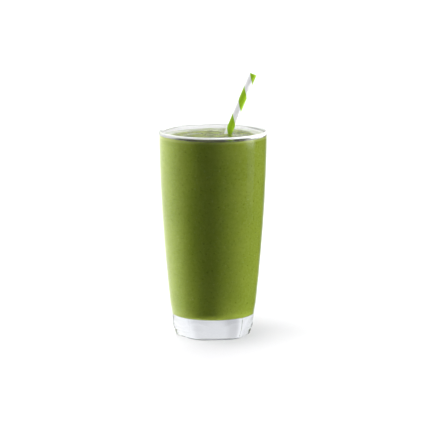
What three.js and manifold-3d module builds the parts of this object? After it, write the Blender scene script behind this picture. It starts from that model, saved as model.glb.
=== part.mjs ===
// A tall glass of green smoothie with a striped paper straw standing in it.
// Millimetres, +Z up. The origin is on the table, at the centre of the foot of the glass.
// Seen from the front (looking along +Y), the straw leans to the right, towards +X.

import * as THREE from 'three';
import { mergeVertices } from 'three/addons/utils/BufferGeometryUtils.js';
import Module from 'manifold-3d';

const wasm = await Module();
wasm.setup();

// Glass, outside: a barrel that narrows towards a heavy base
const RIM_RADIUS = 42.5;
const GLASS_HEIGHT = 162.8;
const BODY_NARROWING = 9.1;
const BODY_CURVE = 1.77;
const BODY_LOW_Z = 19;
const NECK_Z = 25;
const BAND_TOP = { radius: 32.8, z: 18.3 };
const BAND_LOW = { radius: 32, z: 7 };
const FOOT_RADIUS = 29.5;
const HEEL_ROUNDING = 0.25;

// Glass, inside
const WALL_AT_RIM = 2.4;
const WALL_AT_FLOOR = 2.8;
const FLOOR_Z = 15.9;
const FLOOR_CORNER = 7;

// Underside: a shallow hollow, so that the glass stands on a flat ring
const HOLLOW_RADIUS = 21;
const HOLLOW_DEPTH = 0.5;

// Soft flats round the base: how deep they are, how far the first one is turned from the front, and
// between which heights they fade out
const FLAT_COUNT = 6;
const FLAT_DEPTH = 1.8;
const FLAT_TURN = THREE.MathUtils.degToRad(6);
const FLAT_FULL_Z = 5;
const FLAT_TOP_Z = 17;

// Smoothie
const LEVEL_Z = 158.8;
const WAVE_HEIGHT = 0.35;

// Straw: where its centre line crosses the smoothie's level, and how far it leans
const STRAW_RADIUS = 2.85;
const STRAW_PAPER = 0.5;
const STRAW_CROSSING = { x: 11.6, y: 5 };
const STRAW_LEAN = THREE.MathUtils.degToRad(22.5);
const STRAW_ABOVE = 52.3;
const STRAW_BELOW = 108;

// Space left between pieces that touch, and how finely round forms are divided
const GAP = 0.3;
const ROUND_STEPS = 60;
const STRAW_STEPS = 24;
const BODY_STEPS = 11;
const CORNER_STEPS = 5;
const BAND_STEPS = 4;
const SURFACE_RINGS = 9;

// Radius of the glass's outside at a height
function outerRadius(z) {
  if (z < BAND_LOW.z) {
    const below = Math.max(0, 1 - z / HEEL_ROUNDING);
    const rounded = HEEL_ROUNDING * (1 - Math.sqrt(1 - below * below));
    return THREE.MathUtils.lerp(FOOT_RADIUS, BAND_LOW.radius, z / BAND_LOW.z) - rounded;
  }
  if (z < BAND_TOP.z) {
    return THREE.MathUtils.mapLinear(z, BAND_LOW.z, BAND_TOP.z, BAND_LOW.radius, BAND_TOP.radius);
  }
  if (z < NECK_Z) {
    return THREE.MathUtils.mapLinear(z, BAND_TOP.z, NECK_Z, BAND_TOP.radius, bodyRadius(NECK_Z));
  }
  return bodyRadius(z);
}

function bodyRadius(z) {
  const down = (GLASS_HEIGHT - z) / (GLASS_HEIGHT - BODY_LOW_Z);
  return RIM_RADIUS - BODY_NARROWING * Math.pow(down, BODY_CURVE);
}

// Radius of the glass's inside at a height above the rounded corner of its floor
function innerRadius(z) {
  return outerRadius(z) - THREE.MathUtils.mapLinear(z, FLOOR_Z, GLASS_HEIGHT, WALL_AT_FLOOR, WALL_AT_RIM);
}

// Points of the cavity from the centre of its floor up the wall, moved inwards by a gap
function cavityProfile(gap, topZ) {
  const cornerZ = FLOOR_Z + FLOOR_CORNER;
  const cornerCentre = innerRadius(cornerZ) - FLOOR_CORNER;
  const points = [new THREE.Vector2(0, FLOOR_Z + gap)];
  for (let i = 0; i <= CORNER_STEPS; i++) {
    const angle = (Math.PI / 2) * (i / CORNER_STEPS);
    const radius = FLOOR_CORNER - gap;
    points.push(new THREE.Vector2(cornerCentre + radius * Math.sin(angle), cornerZ - radius * Math.cos(angle)));
  }
  for (let i = 1; i <= BODY_STEPS; i++) {
    const z = THREE.MathUtils.lerp(cornerZ, topZ, i / BODY_STEPS);
    points.push(new THREE.Vector2(innerRadius(z) - gap, z));
  }
  return points;
}

// A body of revolution standing along +Z, from a profile of radius and height
function revolve(profile, steps) {
  const geometry = new THREE.LatheGeometry(profile, steps);
  geometry.rotateX(Math.PI / 2);
  return geometry;
}

// One closed mesh: points that coincide are merged, and triangles that lost their area are dropped
function weld(geometry) {
  const bare = geometry.clone();
  bare.deleteAttribute('normal');
  bare.deleteAttribute('uv');
  const merged = mergeVertices(bare, 1e-4);
  const corners = merged.index.array;
  const kept = [];
  for (let i = 0; i < corners.length; i += 3) {
    const [a, b, c] = corners.slice(i, i + 3);
    if (a !== b && b !== c && c !== a) kept.push(a, b, c);
  }
  merged.setIndex(kept);
  return merged;
}

function toSolid(geometry) {
  const welded = weld(geometry);
  return new wasm.Manifold(new wasm.Mesh({
    numProp: 3,
    vertProperties: new Float32Array(welded.attributes.position.array),
    triVerts: new Uint32Array(welded.index.array),
  }));
}

function toGeometry(solid) {
  const mesh = solid.getMesh();
  const geometry = new THREE.BufferGeometry();
  geometry.setAttribute('position', new THREE.BufferAttribute(mesh.vertProperties, 3));
  geometry.setIndex(new THREE.BufferAttribute(mesh.triVerts, 1));
  geometry.computeVertexNormals();
  return geometry;
}

// Outline of the glass: the hollow underside, the foot, the outside, the rounded lip and the cavity
function glassProfile() {
  const points = [];
  for (let i = 0; i <= CORNER_STEPS; i++) {
    const radius = HOLLOW_RADIUS * (i / CORNER_STEPS);
    const height = HOLLOW_DEPTH * (1 - Math.pow(radius / HOLLOW_RADIUS, 2));
    points.push(new THREE.Vector2(radius, height));
  }
  for (let i = 0; i <= CORNER_STEPS; i++) {
    const z = BAND_LOW.z * Math.pow(i / CORNER_STEPS, 2);
    points.push(new THREE.Vector2(outerRadius(z), z));
  }
  for (let i = 1; i <= BAND_STEPS; i++) {
    const z = THREE.MathUtils.lerp(BAND_LOW.z, BAND_TOP.z, i / BAND_STEPS);
    points.push(new THREE.Vector2(outerRadius(z), z));
  }
  const lip = WALL_AT_RIM / 2;
  const lipZ = GLASS_HEIGHT - lip;
  for (let i = 0; i < BODY_STEPS; i++) {
    const z = THREE.MathUtils.lerp(NECK_Z, lipZ, i / BODY_STEPS);
    points.push(new THREE.Vector2(outerRadius(z), z));
  }
  for (let i = 0; i <= 2 * CORNER_STEPS; i++) {
    const angle = Math.PI * (i / (2 * CORNER_STEPS));
    points.push(new THREE.Vector2(RIM_RADIUS - lip + lip * Math.cos(angle), lipZ + lip * Math.sin(angle)));
  }
  const cavity = cavityProfile(0, lipZ).reverse();
  points.push(...cavity.slice(1));
  return points;
}

// How far the flats of the base lie inside its round outline. Turns are measured from the front.
function flatDepth(turn, z) {
  const across = (1 + Math.cos(FLAT_COUNT * (turn - FLAT_TURN))) / 2;
  return FLAT_DEPTH * across * (1 - THREE.MathUtils.smoothstep(z, FLAT_FULL_Z, FLAT_TOP_Z));
}

function glassGeometry() {
  const body = weld(revolve(glassProfile(), ROUND_STEPS));
  const position = body.attributes.position;
  for (let i = 0; i < position.count; i++) {
    const [x, y, z] = [position.getX(i), position.getY(i), position.getZ(i)];
    const radius = Math.hypot(x, y);
    const onOutside = radius > outerRadius(z) - GAP;
    if (onOutside && z < FLAT_TOP_Z) {
      const inwards = 1 - flatDepth(Math.atan2(x, -y), z) / radius;
      position.setXY(i, x * inwards, y * inwards);
    }
  }
  return toGeometry(toSolid(body));
}

// Low swirls that the blended drink keeps on its surface
function wave(x, y) {
  const radius = Math.hypot(x, y);
  const turn = Math.atan2(y, x);
  const swirl = Math.sin(2 * turn + radius / 6) + 0.6 * Math.sin(radius / 3.4 - 3 * turn);
  return WAVE_HEIGHT * swirl * Math.min(1, radius / 8);
}

function smoothieGeometry() {
  const profile = cavityProfile(GAP, LEVEL_Z);
  const edge = profile[profile.length - 1].x;
  for (let i = 1; i <= SURFACE_RINGS; i++) {
    profile.push(new THREE.Vector2(edge * (1 - i / SURFACE_RINGS), LEVEL_Z));
  }
  const body = weld(revolve(profile, ROUND_STEPS));
  const position = body.attributes.position;
  for (let i = 0; i < position.count; i++) {
    if (Math.abs(position.getZ(i) - LEVEL_Z) < 1e-3) {
      position.setZ(i, LEVEL_Z + wave(position.getX(i), position.getY(i)));
    }
  }
  return toGeometry(toSolid(body).subtract(toSolid(strawSleeve())));
}

// A tube standing on the straw's centre line, which it then follows
function strawTube(innerRadiusOfTube, outerRadiusOfTube, low, high) {
  const geometry = revolve([
    new THREE.Vector2(innerRadiusOfTube, low),
    new THREE.Vector2(outerRadiusOfTube, low),
    new THREE.Vector2(outerRadiusOfTube, high),
    new THREE.Vector2(innerRadiusOfTube, high),
    new THREE.Vector2(innerRadiusOfTube, low),
  ], STRAW_STEPS);
  geometry.rotateY(STRAW_LEAN);
  geometry.translate(STRAW_CROSSING.x, STRAW_CROSSING.y, LEVEL_Z);
  return geometry;
}

function strawGeometry() {
  return toGeometry(toSolid(strawTube(STRAW_RADIUS - STRAW_PAPER, STRAW_RADIUS, -STRAW_BELOW, STRAW_ABOVE)));
}

// The straw and the gap round it. The drink that stands inside the straw stays.
function strawSleeve() {
  return strawTube(STRAW_RADIUS - STRAW_PAPER - GAP, STRAW_RADIUS + GAP, -STRAW_BELOW - GAP, STRAW_ABOVE);
}

function part(name, geometry, material) {
  const mesh = new THREE.Mesh(geometry, material);
  mesh.name = name;
  return mesh;
}

const clearGlass = new THREE.MeshStandardMaterial({
  color: 0xeaf2ee, roughness: 0.04, metalness: 0, transparent: true, opacity: 0.35,
});
const greenSmoothie = new THREE.MeshStandardMaterial({ color: 0x6f8a1f, roughness: 0.35, metalness: 0 });
const stripedPaper = new THREE.MeshStandardMaterial({ color: 0xb8d27a, roughness: 0.6, metalness: 0 });

const smoothieInGlass = new THREE.Group();
smoothieInGlass.add(part('glass', glassGeometry(), clearGlass));
smoothieInGlass.add(part('smoothie', smoothieGeometry(), greenSmoothie));
smoothieInGlass.add(part('straw', strawGeometry(), stripedPaper));

export default smoothieInGlass;
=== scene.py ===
"""A glass of green smoothie with a striped paper straw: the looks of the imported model.

The glass, the smoothie and the straw are fine meshes that stand for the faceted solids of the same form.
Lengths are in metres. The origin is on the table, at the centre of the foot of the glass, and +Z is up.
"""

import math

import bpy
import numpy as np
from mathutils import Matrix, Vector


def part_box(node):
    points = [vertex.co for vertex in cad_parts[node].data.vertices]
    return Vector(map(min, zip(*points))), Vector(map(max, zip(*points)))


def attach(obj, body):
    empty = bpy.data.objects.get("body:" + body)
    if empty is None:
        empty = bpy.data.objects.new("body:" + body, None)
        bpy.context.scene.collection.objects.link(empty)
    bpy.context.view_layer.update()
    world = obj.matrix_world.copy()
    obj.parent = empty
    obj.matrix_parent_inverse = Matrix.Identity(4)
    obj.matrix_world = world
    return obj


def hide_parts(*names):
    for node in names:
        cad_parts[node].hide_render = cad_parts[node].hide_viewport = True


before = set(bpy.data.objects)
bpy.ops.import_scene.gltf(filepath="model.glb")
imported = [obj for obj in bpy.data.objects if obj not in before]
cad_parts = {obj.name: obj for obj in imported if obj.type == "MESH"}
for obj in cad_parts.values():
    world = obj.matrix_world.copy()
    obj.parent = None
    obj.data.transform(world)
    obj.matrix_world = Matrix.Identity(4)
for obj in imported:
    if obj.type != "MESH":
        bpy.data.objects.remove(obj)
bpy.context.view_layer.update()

MM = 0.001

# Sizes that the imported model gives
_, glass_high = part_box("glass")
RIM_RADIUS = glass_high.x
GLASS_HEIGHT = glass_high.z

# Outside of the glass
BODY_NARROWING = 9.1 * MM
BODY_CURVE = 1.77
BODY_LOW_Z = 19 * MM
NECK_Z = 25 * MM
BAND_TOP_RADIUS = 32.8 * MM
BAND_TOP_Z = 18.3 * MM
BAND_LOW_RADIUS = 32 * MM
BAND_LOW_Z = 7 * MM
FOOT_RADIUS = 29.5 * MM
HEEL_ROUNDING = 0.25 * MM
HOLLOW_RADIUS = 21 * MM
HOLLOW_DEPTH = 0.5 * MM

# Inside of the glass
WALL_AT_RIM = 2.4 * MM
WALL_AT_FLOOR = 2.8 * MM
FLOOR_Z = 15.9 * MM
FLOOR_CORNER = 7 * MM

# Soft flats round the base, turned from the front and fading out upwards
FLAT_COUNT = 6
FLAT_DEPTH = 1.8 * MM
FLAT_TURN = math.radians(6)
FLAT_FULL_Z = 5 * MM
FLAT_TOP_Z = 17 * MM

# Fine creases in the base: how far each is turned from the front, and how deep it is. They begin within the
# first range of heights and fade out within the second.
CREASES = [(math.radians(-35), 0.15 * MM), (math.radians(45), 0.45 * MM)]
CREASE_WIDTH = math.radians(0.9)
CREASE_START = (1 * MM, 4 * MM)
CREASE_END = (15 * MM, 18 * MM)

# The lip's painted highlight, a milky glass band, begins at one height at the front and back, and at a
# lower one at the sides. Between these distances from the middle it goes from one to the other.
LIP_HIGHLIGHT_Z = 161.4 * MM
LIP_HIGHLIGHT_SIDE_Z = 160.3 * MM
LIP_HIGHLIGHT_TO_SIDE = (24 * MM, 36 * MM)

# Painted contact shadow on the front of the heel, where the glass meets the table: its height, and how far
# its faces turn forwards
HEEL_SHADOW_Z = 0.5 * MM
HEEL_SHADOW_FACING = 0.55

# How far the faces of the finely stippled underside turn down
UNDERSIDE_FACING = 0.9

# Smoothie: it reaches a little into the wall and into the straw's paper, so that no air shows between them
LEVEL_Z = 158.8 * MM
INTO_WALL = 0.12 * MM
INTO_PAPER = 0.05 * MM

# Its surface and its underside: how far their faces turn up and down, and how near they are to the level
# and to the floor
SURFACE_FACING = 0.3
SURFACE_REACH = 3 * MM
BOTTOM_FACING = 0.93
BOTTOM_REACH = 1 * MM

# Low swirls of its surface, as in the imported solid: broad ones and fine ones, both calm near the middle
WAVE_HEIGHT = 0.35 * MM
WAVE_SPACING = 6 * MM
FINE_WAVE_SHARE = 0.6
FINE_WAVE_SPACING = 3.4 * MM
CALM_RADIUS = 8 * MM

# How high the drink rises against the wall and the straw, and how far from them
WALL_RISE = 0.5 * MM
WALL_RISE_REACH = 0.9 * MM
STRAW_RISE = 0.7 * MM
STRAW_RISE_REACH = 1.1 * MM

# Burst bubble in the surface: its dimple, and the painted shade in it
BUBBLE = Vector((-7 * MM, 10 * MM))
BUBBLE_WIDTH = 1.4 * MM
BUBBLE_LENGTH = 2.4 * MM
BUBBLE_DEPTH = 0.8 * MM
BUBBLE_STRETCH = 1.7
BUBBLE_SHADE_SPOT = (0.8 * MM, 2.4 * MM)

# Pale froth along the wall, partly a painted highlight from the side lights: wider at the sides than at the
# front and back
FROTH_RADIUS = 33.5 * MM
FROTH_HIGHLIGHT_SQUEEZE = 0.86
FROTH_RAGGEDNESS = 5 * MM
FROTH_EDGE = 4 * MM

# Painted shade on the front of the surface, the side towards the camera: its sides, where it fades out
# towards the back, and how wavy its borders are
FRONT_SHADE_LEFT = -32 * MM
FRONT_SHADE_RIGHT = 27 * MM
FRONT_SHADE_SOFT = 5 * MM
FRONT_SHADE_END = (-22 * MM, -8 * MM)
FRONT_SHADE_WAVER = 25 * MM

# Heights between which a painted highlight, a thin paler line, runs along the upper edge of the drink
HIGHLIGHT_LINE = (157 * MM, 158.2 * MM)

# Straw: its centre line crosses the level here and leans to the right
STRAW_RADIUS = 2.85 * MM
STRAW_PAPER = 0.5 * MM
STRAW_CROSSING = Vector((11.6 * MM, 5 * MM, LEVEL_Z))
STRAW_LEAN = math.radians(22.5)
STRAW_ABOVE = 52.3 * MM
STRAW_BELOW = 108 * MM

# Its spiral stripe: the height of a turn, the printed share of it, the start below the upper end, the share
# of a turn over which its edge fades, and how far the print goes into the paper
STRIPE_PITCH = 23.6 * MM
STRIPE_SHARE = 0.52
STRIPE_START = 15.6 * MM
STRIPE_EDGE = 0.006
STRIPE_DEPTH = 0.2 * MM

# How finely the round meshes are divided, and the angle from which an edge of the drink is sharp
GLASS_COLUMNS = 540
SMOOTHIE_COLUMNS = 288
SURFACE_RINGS = 110
STRAW_COLUMNS = 64
SHARP_ANGLE = math.radians(50)

# Camera: the photograph's viewing angle, from about two metres away
CAMERA_PLACE = Vector((-0.8 * MM, -2007 * MM, 443.1 * MM))
CAMERA_PITCH = math.radians(9.766)
CAMERA_LENS = 218.4
CAMERA_SENSOR = 36
CAMERA_REACH = 100

# Floor
FLOOR_HALF = 12
FLOOR_DROP = 0.1 * MM


def smoothstep(low, high, value):
    """0 below low, 1 above high and smooth between."""
    share = np.clip((value - low) / (high - low), 0, 1)
    return share * share * (3 - 2 * share)


def mix(a, b, share):
    return a + (b - a) * share


def steps(low, high, rows):
    """Even steps from low, which is left out, to high."""
    return [mix(low, high, i / rows) for i in range(1, rows + 1)]


# Meshes

def full_turn(columns):
    """The angle of each column of a round mesh, from +X."""
    return np.linspace(0, 2 * math.pi, columns, endpoint=False)


def between(first, second, column, columns):
    """The face from a column to the next one, between two rings that begin at these points."""
    after = (column + 1) % columns
    return first + column, first + after, second + after, second + column


def new_piece(name, points, faces):
    mesh = bpy.data.meshes.new(name)
    mesh.from_pydata(points, [], faces)
    mesh.polygons.foreach_set("use_smooth", [True] * len(mesh.polygons))
    mesh.update()
    piece = bpy.data.objects.new(name, mesh)
    bpy.context.scene.collection.objects.link(piece)
    return piece


def revolved(name, rings, bottom_z, top_z, columns):
    """A closed round mesh with a pole at each end.

    A ring is its radius and its height, each of which may be an array with a value for each column.
    """
    turns = full_turn(columns)
    points = [(0, 0, bottom_z)]
    for radii, heights in rings:
        radii = np.broadcast_to(radii, columns)
        heights = np.broadcast_to(heights, columns)
        points.extend(zip(radii * np.cos(turns), radii * np.sin(turns), heights))
    points.append((0, 0, top_z))
    faces = []
    last = len(points) - 1
    for j in range(columns):
        k = (j + 1) % columns
        faces.append((0, 1 + k, 1 + j))
        faces.append((last, last - columns + j, last - columns + k))
        for i in range(len(rings) - 1):
            low = 1 + i * columns
            faces.append(between(low, low + columns, j, columns))
    return new_piece(name, [tuple(map(float, p)) for p in points], faces)


def arc(centre_radius, centre_z, radius, start, end, rows):
    """Points of an arc of a profile, without its start. Angles are from straight down, turning outwards."""
    points = []
    for angle in steps(start, end, rows):
        points.append((centre_radius + radius * math.sin(angle), centre_z - radius * math.cos(angle)))
    return points


# Shape of the glass

def body_radius(z):
    down = (GLASS_HEIGHT - z) / (GLASS_HEIGHT - BODY_LOW_Z)
    return RIM_RADIUS - BODY_NARROWING * down ** BODY_CURVE


def outer_radius(z):
    """Radius of the glass's round outside at a height."""
    if z < BAND_LOW_Z:
        below = max(0, 1 - z / HEEL_ROUNDING)
        rounded = HEEL_ROUNDING * (1 - math.sqrt(1 - below * below))
        return mix(FOOT_RADIUS, BAND_LOW_RADIUS, z / BAND_LOW_Z) - rounded
    if z < BAND_TOP_Z:
        return mix(BAND_LOW_RADIUS, BAND_TOP_RADIUS, (z - BAND_LOW_Z) / (BAND_TOP_Z - BAND_LOW_Z))
    if z < NECK_Z:
        return mix(BAND_TOP_RADIUS, body_radius(NECK_Z), (z - BAND_TOP_Z) / (NECK_Z - BAND_TOP_Z))
    return body_radius(z)


def inner_radius(z):
    """Radius of the glass's inside at a height above its rounded corner."""
    return outer_radius(z) - mix(WALL_AT_FLOOR, WALL_AT_RIM, (z - FLOOR_Z) / (GLASS_HEIGHT - FLOOR_Z))


def flat_depth(turns, z):
    """How far the flats of the base lie inside its round outline. Turns are measured from +X."""
    across = (1 + np.cos(FLAT_COUNT * (turns + math.pi / 2 - FLAT_TURN))) / 2
    return FLAT_DEPTH * across * (1 - smoothstep(FLAT_FULL_Z, FLAT_TOP_Z, z))


def crease_depth(turns, z):
    """Fine upright creases pressed into the base between its flats."""
    depth = 0
    for turn, deepest in CREASES:
        away = (turns + math.pi / 2 - turn + math.pi) % (2 * math.pi) - math.pi
        depth = depth + deepest * np.exp(-(away / CREASE_WIDTH) ** 2)
    return depth * smoothstep(*CREASE_START, z) * (1 - smoothstep(*CREASE_END, z))


def cavity_profile(grow, top_z, rows):
    """Points of the cavity from its floor up the wall. A positive grow moves them into the glass."""
    corner_z = FLOOR_Z + FLOOR_CORNER
    centre = inner_radius(corner_z) - FLOOR_CORNER
    points = [(radius, FLOOR_Z - grow) for radius in steps(0, centre, rows=12)]
    points += arc(centre, corner_z, FLOOR_CORNER + grow, 0, math.pi / 2, rows=20)
    points += [(inner_radius(z) + grow, z) for z in steps(corner_z, top_z, rows)]
    return points


def make_glass():
    """Rings from the hollow underside over the foot, the outside and the lip to the cavity's floor."""
    turns = full_turn(GLASS_COLUMNS)
    lip_radius = WALL_AT_RIM / 2
    lip_z = GLASS_HEIGHT - lip_radius
    heights = [0]
    heights += steps(0, HEEL_ROUNDING, rows=5)
    heights += steps(HEEL_ROUNDING, BAND_LOW_Z, rows=18)
    heights += steps(BAND_LOW_Z, BAND_TOP_Z, rows=16)
    heights += steps(BAND_TOP_Z, NECK_Z, rows=6)
    heights += steps(NECK_Z, LIP_HIGHLIGHT_SIDE_Z, rows=30)
    heights += steps(LIP_HIGHLIGHT_SIDE_Z, lip_z, rows=5)

    rings = []
    for radius in steps(0, HOLLOW_RADIUS, rows=12):
        rings.append((radius, HOLLOW_DEPTH * (1 - (radius / HOLLOW_RADIUS) ** 2)))
    foot = outer_radius(0) - flat_depth(turns, 0)
    for radii in steps(HOLLOW_RADIUS, foot, rows=5)[:-1]:
        rings.append((radii, 0))
    for z in heights:
        rings.append((outer_radius(z) - flat_depth(turns, z) - crease_depth(turns, z), z))
    rings += arc(RIM_RADIUS - lip_radius, lip_z, lip_radius, math.pi / 2, 3 * math.pi / 2, rows=16)[:-1]
    rings += reversed(cavity_profile(0, lip_z, rows=32))
    return revolved("glass_tumbler", rings, HOLLOW_DEPTH, FLOOR_Z, GLASS_COLUMNS)


# Shape of the smoothie

def wave(x, y):
    """Low swirls that the blended drink keeps on its surface."""
    radius = np.hypot(x, y)
    turn = np.arctan2(y, x)
    broad = np.sin(2 * turn + radius / WAVE_SPACING)
    fine = FINE_WAVE_SHARE * np.sin(radius / FINE_WAVE_SPACING - 3 * turn)
    return WAVE_HEIGHT * (broad + fine) * np.minimum(1, radius / CALM_RADIUS)


def straw_distance(x, y):
    """Distance on the surface from the straw's wall."""
    across = (x - STRAW_CROSSING.x) * math.cos(STRAW_LEAN)
    return np.hypot(across, y - STRAW_CROSSING.y) - STRAW_RADIUS


def surface_height(x, y, edge):
    """Height of the drink's surface: swirls, the rise against wall and straw, and one burst bubble."""
    height = LEVEL_Z + wave(x, y)
    height = height + WALL_RISE * np.exp(-(edge - np.hypot(x, y)) / WALL_RISE_REACH)
    height = height + STRAW_RISE * np.exp(-np.abs(straw_distance(x, y)) / STRAW_RISE_REACH)
    dimple = np.hypot((x - BUBBLE.x) / BUBBLE_WIDTH, (y - BUBBLE.y) / BUBBLE_LENGTH)
    return height - BUBBLE_DEPTH * np.exp(-dimple ** 2)


def make_smoothie():
    turns = full_turn(SMOOTHIE_COLUMNS)
    profile = cavity_profile(INTO_WALL, LEVEL_Z, rows=60)
    rings = profile[:-1]
    edge = profile[-1][0]
    for i in range(SURFACE_RINGS):
        radius = edge * (1 - i / SURFACE_RINGS)
        x = radius * np.cos(turns)
        y = radius * np.sin(turns)
        rings.append((radius, surface_height(x, y, edge)))
    return revolved("green_smoothie", rings, FLOOR_Z - INTO_WALL, LEVEL_Z, SMOOTHIE_COLUMNS)


# Shape of the straw

def make_tube(name, inside, outside, low, high, rows):
    """A tube along the straw's centre line. Heights are measured along it from the drink's level."""
    outer = [(outside, z) for z in [low] + steps(low, high, rows)]
    inner = [(inside, z) for _, z in reversed(outer)]
    profile = outer + inner
    points = []
    for radius, z in profile:
        for turn in full_turn(STRAW_COLUMNS):
            points.append((radius * math.cos(turn), radius * math.sin(turn), z))
    faces = []
    for i in range(len(profile)):
        first = i * STRAW_COLUMNS
        second = (i + 1) % len(profile) * STRAW_COLUMNS
        for j in range(STRAW_COLUMNS):
            faces.append(between(first, second, j, STRAW_COLUMNS))
    piece = new_piece(name, points, faces)
    piece.matrix_world = Matrix.Translation(STRAW_CROSSING) @ Matrix.Rotation(STRAW_LEAN, 4, "Y")
    bpy.context.view_layer.update()
    return piece


def make_straw():
    inside = STRAW_RADIUS - STRAW_PAPER
    return make_tube("paper_straw", inside, STRAW_RADIUS, -STRAW_BELOW, STRAW_ABOVE, rows=160)


def cut_round_straw(piece):
    """Cuts the drink round the straw, so that it reaches a little into the paper."""
    inside = STRAW_RADIUS - STRAW_PAPER + INTO_PAPER
    outside = STRAW_RADIUS - INTO_PAPER
    sleeve = make_tube("sleeve", inside, outside, -STRAW_BELOW + INTO_PAPER, STRAW_ABOVE, rows=8)
    cut = piece.modifiers.new("cut", "BOOLEAN")
    cut.operation = "DIFFERENCE"
    cut.solver = "EXACT"
    cut.object = sleeve
    bpy.context.view_layer.update()
    evaluated = piece.evaluated_get(bpy.context.evaluated_depsgraph_get())
    mesh = bpy.data.meshes.new_from_object(evaluated)
    piece.modifiers.remove(cut)
    whole = piece.data
    piece.data = mesh
    mesh.name = "green_smoothie"
    bpy.data.meshes.remove(whole)
    bpy.data.objects.remove(sleeve)
    mesh.set_sharp_from_angle(angle=SHARP_ANGLE)


# Materials

class Nodes:
    """Short names for building a node tree."""

    def __init__(self, tree, output_kind):
        self.tree = tree
        tree.nodes.clear()
        self.output = self.add(output_kind)

    def add(self, kind, **values):
        node = self.tree.nodes.new(kind)
        for name, value in values.items():
            setattr(node, name, value)
        return node

    def link(self, source, target):
        self.tree.links.new(source, target)

    def put(self, socket, value):
        """Links a socket to another one, or sets its number or colour."""
        if isinstance(value, bpy.types.NodeSocket):
            self.link(value, socket)
        elif value is not None:
            socket.default_value = value

    def math(self, operation, a, b=None, c=None):
        node = self.add("ShaderNodeMath", operation=operation)
        for socket, value in zip(node.inputs, (a, b, c)):
            self.put(socket, value)
        return node.outputs[0]

    def total(self, first, *others):
        for other in others:
            first = self.math("ADD", first, other)
        return first

    def product(self, first, *others):
        for other in others:
            first = self.math("MULTIPLY", first, other)
        return first

    def length(self, a, b):
        """Length of the flat vector a, b."""
        return self.math("SQRT", self.total(self.math("POWER", a, 2.0), self.math("POWER", b, 2.0)))

    def split(self, vector):
        """The x, y and z of a vector."""
        node = self.add("ShaderNodeSeparateXYZ")
        self.link(vector, node.inputs[0])
        return node.outputs

    def ramp(self, value, low, high, out_low=0.0, out_high=1.0):
        """A smooth change from out_low to out_high as value goes from low to high."""
        node = self.add("ShaderNodeMapRange", interpolation_type="SMOOTHSTEP")
        for socket, given in zip(node.inputs, (value, low, high, out_low, out_high)):
            self.put(socket, given)
        return node.outputs[0]

    def window(self, value, low, high, soft):
        """1 between low and high, 0 outside, with edges that are soft to both sides."""
        rise = self.ramp(value, low - soft, low + soft)
        fall = self.ramp(value, high - soft, high + soft, 1.0, 0.0)
        return self.product(rise, fall)

    def noise(self, vector, scale, detail, roughness=0.5, distortion=0.0):
        node = self.add("ShaderNodeTexNoise")
        self.link(vector, node.inputs["Vector"])
        node.inputs["Scale"].default_value = scale
        node.inputs["Detail"].default_value = detail
        node.inputs["Roughness"].default_value = roughness
        node.inputs["Distortion"].default_value = distortion
        return node.outputs["Fac"]

    def mix_colour(self, share, a, b):
        node = self.add("ShaderNodeMix", data_type="RGBA")
        self.put(node.inputs["Factor"], share)
        for socket in node.inputs:
            if socket.type == "RGBA" and socket.name == "A":
                self.put(socket, a)
            if socket.type == "RGBA" and socket.name == "B":
                self.put(socket, b)
        return [s for s in node.outputs if s.type == "RGBA"][0]

    def mix_value(self, share, a, b):
        node = self.add("ShaderNodeMix", data_type="FLOAT")
        for socket, value in zip(node.inputs, (share, None, a, b)):
            self.put(socket, value)
        return node.outputs[0]

    def bump(self, height, strength, distance):
        node = self.add("ShaderNodeBump")
        self.put(node.inputs["Height"], height)
        node.inputs["Strength"].default_value = strength
        node.inputs["Distance"].default_value = distance
        return node.outputs["Normal"]


def new_material(name):
    """A material, its nodes, its shader and the place on the object."""
    material = bpy.data.materials.new(name)
    material.use_nodes = True
    nodes = Nodes(material.node_tree, "ShaderNodeOutputMaterial")
    shader = nodes.add("ShaderNodeBsdfPrincipled")
    nodes.link(shader.outputs[0], nodes.output.inputs["Surface"])
    place = nodes.add("ShaderNodeTexCoord").outputs["Object"]
    return material, nodes, shader, place


GLASS_COLOUR = (0.985, 0.992, 0.99, 1)
GLASS_TINT = (0.4, 0.42, 0.5, 1)
GLASS_TINT_DENSITY = 10
GLASS_IOR = 1.5
# Dark grey of the heel's front: a painted contact shadow
HEEL_SHADOW_COLOUR = (0.3, 0.31, 0.33, 1)


def glass_material(name, clearness, smooth, rough, colour=GLASS_COLOUR):
    """Glass with faint smudges, between smooth and rough, and a slightly uneven surface."""
    material, nodes, shader, place = new_material(name)
    shader.inputs["Base Color"].default_value = colour
    shader.inputs["Transmission Weight"].default_value = clearness
    shader.inputs["IOR"].default_value = GLASS_IOR
    smudges = nodes.noise(place, scale=60, detail=2)
    nodes.put(shader.inputs["Roughness"], nodes.ramp(smudges, 0.4, 0.8, smooth, rough))
    unevenness = nodes.noise(place, scale=40, detail=1)
    nodes.put(shader.inputs["Normal"], nodes.bump(unevenness, strength=0.1, distance=0.2 * MM))
    tint = nodes.add("ShaderNodeVolumeAbsorption")
    tint.inputs["Color"].default_value = GLASS_TINT
    tint.inputs["Density"].default_value = GLASS_TINT_DENSITY
    nodes.link(tint.outputs[0], nodes.output.inputs["Volume"])
    return material


# Colours of the drink: against the glass, and on its surface
SIDE_SHADES = {
    "deep": (0.32, 0.41, 0.046, 1),
    "light": (0.41, 0.50, 0.074, 1),
    "fleck": (0.22, 0.29, 0.025, 1),
    "seed": (0.52, 0.60, 0.17, 1),
}
TOP_SHADES = {
    "deep": (0.16, 0.20, 0.03, 1),
    "light": (0.33, 0.39, 0.09, 1),
    "fleck": (0.08, 0.11, 0.01, 1),
    "seed": (0.45, 0.52, 0.18, 1),
}
# Painted highlight along the drink's upper edge
HIGHLIGHT_LINE_COLOUR = (0.64, 0.70, 0.22, 1)
SWIRL_COLOUR = (0.13, 0.165, 0.03, 1)
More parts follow.
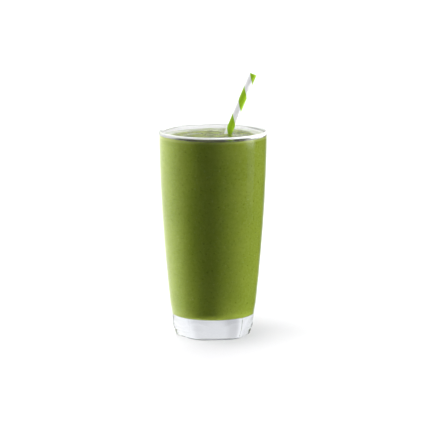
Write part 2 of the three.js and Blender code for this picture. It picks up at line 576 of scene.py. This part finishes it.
# Painted shade at the front of the surface
FRONT_SHADE_COLOUR = (0.08, 0.097, 0.008, 1)
# Painted shade in the burst bubble's dimple
BUBBLE_SHADE_COLOUR = (0.05, 0.065, 0.008, 1)
# Pale froth, partly a painted highlight at the sides
FROTH_AND_HIGHLIGHT_SHADES = ((0.5, 0.54, 0.42, 1), (0.72, 0.74, 0.68, 1))
MIRROR_SHADES = ((0.88, 0.9, 0.84, 1), (0.94, 0.95, 0.92, 1))
DRINK_IOR = 1.4


def smoothie_colour(nodes, place, shades):
    """Green of the blended fruit and leaves, with cloudy variation, dark flecks and pale seeds."""
    clouds = nodes.noise(place, scale=45, detail=2)
    grain = nodes.noise(place, scale=420, detail=4, roughness=0.7)
    share = nodes.total(nodes.product(clouds, 0.4), nodes.product(grain, 0.6))
    colour = nodes.mix_colour(nodes.ramp(share, 0.3, 0.7), shades["deep"], shades["light"])
    flecks = nodes.noise(place, scale=800, detail=2)
    colour = nodes.mix_colour(nodes.ramp(flecks, 0.62, 0.72), colour, shades["fleck"])
    seeds = nodes.noise(place, scale=1000, detail=1)
    return nodes.mix_colour(nodes.ramp(seeds, 0.68, 0.78), colour, shades["seed"])


def smoothie_side_material():
    """The drink against the glass, with a painted highlight: a thin paler line along its upper edge."""
    material, nodes, shader, place = new_material("smoothie_against_glass")
    colour = smoothie_colour(nodes, place, SIDE_SHADES)
    height = nodes.split(place)[2]
    # The painted highlight along the upper edge
    highlight_line = nodes.ramp(height, *HIGHLIGHT_LINE, out_high=0.5)
    nodes.put(shader.inputs["Base Color"], nodes.mix_colour(highlight_line, colour, HIGHLIGHT_LINE_COLOUR))
    shader.inputs["Roughness"].default_value = 0.7
    shader.inputs["Specular IOR Level"].default_value = 0
    return material


def smoothie_bottom_material():
    """Seen through the base at a low angle, the border of glass and drink mirrors what is below it."""
    material, nodes, shader, place = new_material("smoothie_against_base")
    dapple = nodes.noise(place, scale=300, detail=2)
    nodes.put(shader.inputs["Base Color"], nodes.mix_colour(dapple, *MIRROR_SHADES))
    shader.inputs["Metallic"].default_value = 1
    shader.inputs["Roughness"].default_value = 0.12
    return material


def froth_and_highlight_share(nodes, place, x, y):
    """The froth along the wall, partly a painted highlight from the side lights, with a ragged inner edge.
    """
    radius = nodes.length(x, nodes.product(y, FROTH_HIGHLIGHT_SQUEEZE))
    ragged = nodes.math("MULTIPLY_ADD", nodes.noise(place, scale=150, detail=2), FROTH_RAGGEDNESS, radius)
    return nodes.ramp(ragged, FROTH_RADIUS, FROTH_RADIUS + FROTH_EDGE, out_high=0.9)


def front_shade_share(nodes, place, x, y):
    """Painted shade at the front of the surface, within wavy borders."""
    waves = nodes.noise(place, scale=55, detail=4, roughness=0.6, distortion=1.5)
    waver = nodes.math("MULTIPLY_ADD", waves, 2 * FRONT_SHADE_WAVER, -FRONT_SHADE_WAVER)
    across = nodes.window(nodes.total(x, waver), FRONT_SHADE_LEFT, FRONT_SHADE_RIGHT, FRONT_SHADE_SOFT)
    to_front = nodes.ramp(nodes.total(y, waver), *FRONT_SHADE_END, out_low=1.0, out_high=0.0)
    return nodes.product(across, to_front)


def bubble_shade_share(nodes, x, y):
    """Painted shade in the burst bubble's dimple, longer from front to back than across."""
    from_x = nodes.math("SUBTRACT", x, BUBBLE.x)
    from_y = nodes.math("DIVIDE", nodes.math("SUBTRACT", y, BUBBLE.y), BUBBLE_STRETCH)
    return nodes.ramp(nodes.length(from_x, from_y), *BUBBLE_SHADE_SPOT, out_low=0.9, out_high=0.0)


def smoothie_top_material():
    """The drink's wet surface, with darker swirls, froth that is partly a painted highlight, painted shade
    at the front and painted shade in one burst bubble.
    """
    material, nodes, shader, place = new_material("smoothie_surface")
    x, y, _ = nodes.split(place)
    colour = smoothie_colour(nodes, place, TOP_SHADES)
    turbulence = nodes.noise(place, scale=95, detail=2, distortion=2.2)
    colour = nodes.mix_colour(nodes.ramp(turbulence, 0.42, 0.62, out_high=0.7), colour, SWIRL_COLOUR)
    # Froth, partly a painted highlight from the side lights
    froth = nodes.mix_colour(nodes.noise(place, scale=700, detail=3), *FROTH_AND_HIGHLIGHT_SHADES)
    colour = nodes.mix_colour(froth_and_highlight_share(nodes, place, x, y), colour, froth)
    # Painted shade at the front of the surface
    colour = nodes.mix_colour(front_shade_share(nodes, place, x, y), colour, FRONT_SHADE_COLOUR)
    # Painted shade in the bubble's dimple
    colour = nodes.mix_colour(bubble_shade_share(nodes, x, y), colour, BUBBLE_SHADE_COLOUR)
    nodes.put(shader.inputs["Base Color"], colour)
    shader.inputs["Roughness"].default_value = 0.18
    shader.inputs["IOR"].default_value = DRINK_IOR
    grain = nodes.noise(place, scale=500, detail=3)
    nodes.put(shader.inputs["Normal"], nodes.bump(grain, strength=0.25, distance=0.3 * MM))
    return material


STRIPE_SHADES = ((0.27, 0.48, 0.008, 1), (0.33, 0.56, 0.015, 1))
PAPER_SHADES = ((0.87, 0.87, 0.88, 1), (0.94, 0.94, 0.95, 1))


def stripe_share(nodes, x, y, z):
    """The printed spiral: it winds down the straw and is on its outside only."""
    front_turn = nodes.math("ARCTAN2", x, nodes.product(y, -1.0))
    turns = nodes.math("DIVIDE", front_turn, 2 * math.pi)
    down = nodes.math("SUBTRACT", STRAW_ABOVE - STRIPE_START, z)
    along = nodes.math("SUBTRACT", nodes.math("DIVIDE", down, STRIPE_PITCH), turns)
    keep_positive = 20.0
    phase = nodes.math("FRACT", nodes.total(along, keep_positive))
    rise = nodes.ramp(phase, 0.0, STRIPE_EDGE)
    fall = nodes.ramp(phase, STRIPE_SHARE, STRIPE_SHARE + STRIPE_EDGE, 1.0, 0.0)
    outside = nodes.math("GREATER_THAN", nodes.length(x, y), STRAW_RADIUS - STRIPE_DEPTH)
    return nodes.product(rise, fall, outside)


def straw_material():
    """Matte paper with fine fibres, printed with a green spiral stripe."""
    material, nodes, shader, place = new_material("striped_paper")
    fibre = nodes.noise(place, scale=1500, detail=3)
    green = nodes.mix_colour(fibre, *STRIPE_SHADES)
    white = nodes.mix_colour(fibre, *PAPER_SHADES)
    printed = stripe_share(nodes, *nodes.split(place))
    nodes.put(shader.inputs["Base Color"], nodes.mix_colour(printed, white, green))
    shader.inputs["Roughness"].default_value = 0.6
    shader.inputs["Specular IOR Level"].default_value = 0.2
    nodes.put(shader.inputs["Normal"], nodes.bump(fibre, strength=0.15, distance=0.1 * MM))
    return material


# Stage

FLOOR_SHADES = ((0.80, 0.80, 0.81, 1), (0.82, 0.82, 0.83, 1))


def make_floor():
    """A wide pale floor. What is seen through glass or reflected in it comes from the studio instead."""
    material, nodes, shader, place = new_material("pale_floor")
    grain = nodes.noise(place, scale=3, detail=2)
    nodes.put(shader.inputs["Base Color"], nodes.mix_colour(grain, *FLOOR_SHADES))
    shader.inputs["Roughness"].default_value = 0.9
    shader.inputs["Specular IOR Level"].default_value = 0
    corners = [(-1, -1), (1, -1), (1, 1), (-1, 1)]
    points = [(x * FLOOR_HALF, y * FLOOR_HALF, -FLOOR_DROP) for x, y in corners]
    piece = new_piece("floor", points, [(0, 1, 2, 3)])
    piece.data.materials.append(material)
    piece.visible_glossy = False
    piece.visible_transmission = False


# Strengths of the studio light
PANEL_STRENGTH = 7.0
DRINK_LEFT_HIGH = 24.0
DRINK_LEFT_LOW = 15.0
DRINK_RIGHT_HIGH = 9.5
DRINK_RIGHT_LOW = 9.2
FLOOR_LEFT = 4.4
FLOOR_RIGHT = 54.0
LEFT_CARD = 1.6
RIGHT_CARD = 0.65
RIGHT_CARD_TOP = 5.5
BACK_RIGHT = 1.2
THROUGH_RIGHT = 0.27
THROUGH_DARK = -0.2
THROUGH_LEFT = 0.3
LATER_BOUNCES = 0.3
MIRRORED_INSIDE = 0.04

# The middle of the light from the left, turned from the front
FLOOR_LEFT_TURN = -68.0


class Studio(Nodes):
    """The nodes of the world, with its directions in degrees.

    A turn is from the front, positive to the right, and a height is above the horizon.
    """

    def __init__(self, tree):
        super().__init__(tree, "ShaderNodeOutputWorld")
        x, y, z = self.split(self.add("ShaderNodeTexCoord").outputs["Generated"])
        to_degrees = 180 / math.pi
        self.turn = self.product(self.math("ARCTAN2", x, self.product(y, -1.0)), to_degrees)
        self.height = self.product(self.math("ARCSINE", z), to_degrees)
        self.from_front = self.math("ABSOLUTE", self.turn)
        self.is_above = self.ramp(self.height, -1, 1)
        self.panel = self.product(
            self.ramp(self.from_front, 138, 152),
            self.window(self.height, 32, 56, soft=4),
            PANEL_STRENGTH,
        )


def floor_light(studio):
    """On the floor and the straw: from the left and above, and low from the right."""
    from_left = studio.math("ABSOLUTE", studio.math("SUBTRACT", studio.turn, FLOOR_LEFT_TURN))
    left = studio.product(
        studio.ramp(from_left, 50, 102, out_low=FLOOR_LEFT, out_high=0.05),
        studio.ramp(studio.height, 26, 54, out_low=0.15, out_high=1.0),
    )
    right = studio.product(
        studio.window(studio.turn, 60, 125, soft=12),
        studio.ramp(studio.height, 5, 10, out_low=FLOOR_RIGHT, out_high=0.0),
    )
    return studio.total(left, right)


def drink_light(studio):
    """On the drink, through its glass: from both sides, from the panel and a little from all round."""
    left = studio.window(studio.turn, -130, -90, soft=8)
    right = studio.window(studio.turn, 70, 110, soft=12)
    around = studio.ramp(studio.from_front, 110, 135, out_low=0.12, out_high=0.45)
    left_high = studio.product(left, studio.window(studio.height, 16, 49, soft=6), DRINK_LEFT_HIGH)
    right_height = studio.ramp(studio.height, 24, 36, out_low=DRINK_RIGHT_HIGH, out_high=0.0)
    above = studio.total(studio.panel, left_high, studio.product(right, right_height), around)
    left_low = studio.product(left, DRINK_LEFT_LOW)
    right_low = studio.product(right, DRINK_RIGHT_LOW)
    return studio.mix_value(studio.is_above, studio.total(around, left_low, right_low), above)


def mirrored_light(studio):
    """Mirrored in the glass and the drink's surface: the panel and back wall above, and cards below."""
    back_wall = studio.product(
        studio.ramp(studio.from_front, 110, 135, out_low=0.1, out_high=1.0),
        studio.ramp(studio.height, 10, 30, out_low=0.3, out_high=1.0),
    )
    left_card = studio.ramp(studio.turn, -50, -125, out_high=LEFT_CARD)
    right_card = studio.product(
        studio.window(studio.turn, 79, 100, soft=4),
        studio.ramp(studio.height, -16, -11, out_high=RIGHT_CARD),
    )
    right_card_top = studio.product(
        studio.window(studio.turn, 74, 98, soft=7),
        studio.ramp(studio.height, -9.8, -8.2, out_high=RIGHT_CARD_TOP),
    )
    back_right = studio.ramp(studio.turn, 140, 178, out_high=BACK_RIGHT)
    below = studio.total(left_card, right_card, right_card_top, back_right)
    return studio.mix_value(studio.is_above, below, studio.total(studio.panel, back_wall))


def light_through(studio):
    """Seen through the glass: nearly even, with a few wide upright bands."""
    right_band = studio.product(studio.window(studio.turn, 60, 160, soft=8), THROUGH_RIGHT)
    dark_band = studio.product(studio.window(studio.turn, -171, -159, soft=4), THROUGH_DARK)
    left_band = studio.product(studio.window(studio.turn, -156, -60, soft=3), THROUGH_LEFT)
    even = studio.ramp(studio.height, -3, 3, out_low=1.22, out_high=1.4)
    return studio.total(right_band, dark_band, left_band, even)


def make_light():
    """Soft studio light. Each part of it is set for what it lights: the floor and the straw, the drink
    through its glass, what the glass mirrors, and what is seen through the glass. From its second bounce
    on the light is dimmer, and so is what the glass mirrors inside itself."""
    world = bpy.data.worlds.new("studio")
    bpy.context.scene.world = world
    world.use_nodes = True
    studio = Studio(world.node_tree)
    ray = studio.add("ShaderNodeLightPath")
    through_glass = ray.outputs["Is Transmission Ray"]
    bounces = ray.outputs["Diffuse Depth"]

    lit = studio.mix_value(through_glass, floor_light(studio), drink_light(studio))
    lit = studio.product(lit, studio.ramp(bounces, 1.4, 1.6, 1.0, LATER_BOUNCES))
    inside = studio.ramp(ray.outputs["Transmission Depth"], 0.4, 0.6, 1.0, MIRRORED_INSIDE)
    mirrored = studio.product(mirrored_light(studio), inside)
    seen = studio.mix_value(through_glass, mirrored, light_through(studio))
    strength = studio.mix_value(studio.math("LESS_THAN", bounces, 0.5), lit, seen)

    background = studio.add("ShaderNodeBackground")
    strength = studio.mix_value(ray.outputs["Is Camera Ray"], strength, 1.0)
    studio.put(background.inputs["Strength"], strength)
    studio.link(background.outputs[0], studio.output.inputs["Surface"])


def make_camera():
    data = bpy.data.cameras.new("camera")
    data.lens = CAMERA_LENS
    data.sensor_width = CAMERA_SENSOR
    data.clip_end = CAMERA_REACH
    camera = bpy.data.objects.new("camera", data)
    bpy.context.scene.collection.objects.link(camera)
    camera.location = CAMERA_PLACE
    camera.rotation_euler = (math.pi / 2 - CAMERA_PITCH, 0, 0)
    bpy.context.scene.camera = camera


# Pieces

def stand_for(piece, node, slot_name, *materials):
    for material in materials:
        piece.data.materials.append(material)
    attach(piece, "root")
    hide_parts(node)


# The order of the materials on the glass, and on the drink
CLEAR, LIP_HIGHLIGHT, UNDERSIDE, HEEL_SHADOW = range(4)
SIDE, SURFACE, BOTTOM = range(3)


def glass_zone(face):
    # Faces above this height get the lip's painted highlight
    to_side = smoothstep(*LIP_HIGHLIGHT_TO_SIDE, abs(face.center.x))
    if face.center.z > mix(LIP_HIGHLIGHT_Z, LIP_HIGHLIGHT_SIDE_Z, to_side):
        return LIP_HIGHLIGHT
    if face.center.z < HOLLOW_DEPTH and face.normal.z < -UNDERSIDE_FACING:
        return UNDERSIDE
    # Heel faces that turn forwards get the painted contact shadow
    if face.center.z < HEEL_SHADOW_Z and face.normal.y < -HEEL_SHADOW_FACING:
        return HEEL_SHADOW
    return CLEAR


def add_glass():
    piece = make_glass()
    clear = glass_material("clear_glass", clearness=1, smooth=0.0, rough=0.02)
    # Milky, mostly opaque lip material: a painted highlight of the rim
    lip = glass_material("glass_lip_highlight", clearness=0.25, smooth=0.1, rough=0.15)
    underside = glass_material("glass_underside", clearness=1, smooth=0.08, rough=0.12)
    # Half-opaque dark grey heel material: a painted contact shadow
    heel = glass_material("glass_heel_shadow", clearness=0.2, smooth=0.2, rough=0.3, colour=HEEL_SHADOW_COLOUR)
    stand_for(piece, "glass", "clear_glass", clear, lip, underside, heel)
    for face in piece.data.polygons:
        face.material_index = glass_zone(face)


def smoothie_zone(face):
    if face.normal.z > SURFACE_FACING and face.center.z > LEVEL_Z - SURFACE_REACH:
        return SURFACE
    if face.normal.z < -BOTTOM_FACING and face.center.z < FLOOR_Z + BOTTOM_REACH:
        return BOTTOM
    return SIDE


def add_smoothie():
    piece = make_smoothie()
    cut_round_straw(piece)
    side = smoothie_side_material()
    surface = smoothie_top_material()
    bottom = smoothie_bottom_material()
    stand_for(piece, "smoothie", "green_smoothie", side, surface, bottom)
    for face in piece.data.polygons:
        face.material_index = smoothie_zone(face)


make_camera()
make_floor()
make_light()
add_glass()
add_smoothie()
stand_for(make_straw(), "straw", "striped_paper", straw_material())

scene = bpy.context.scene
scene.view_settings.view_transform = "Standard"
scene.cycles.max_bounces = 24
scene.cycles.transmission_bounces = 16
scene.cycles.diffuse_bounces = 6
scene.cycles.glossy_bounces = 10
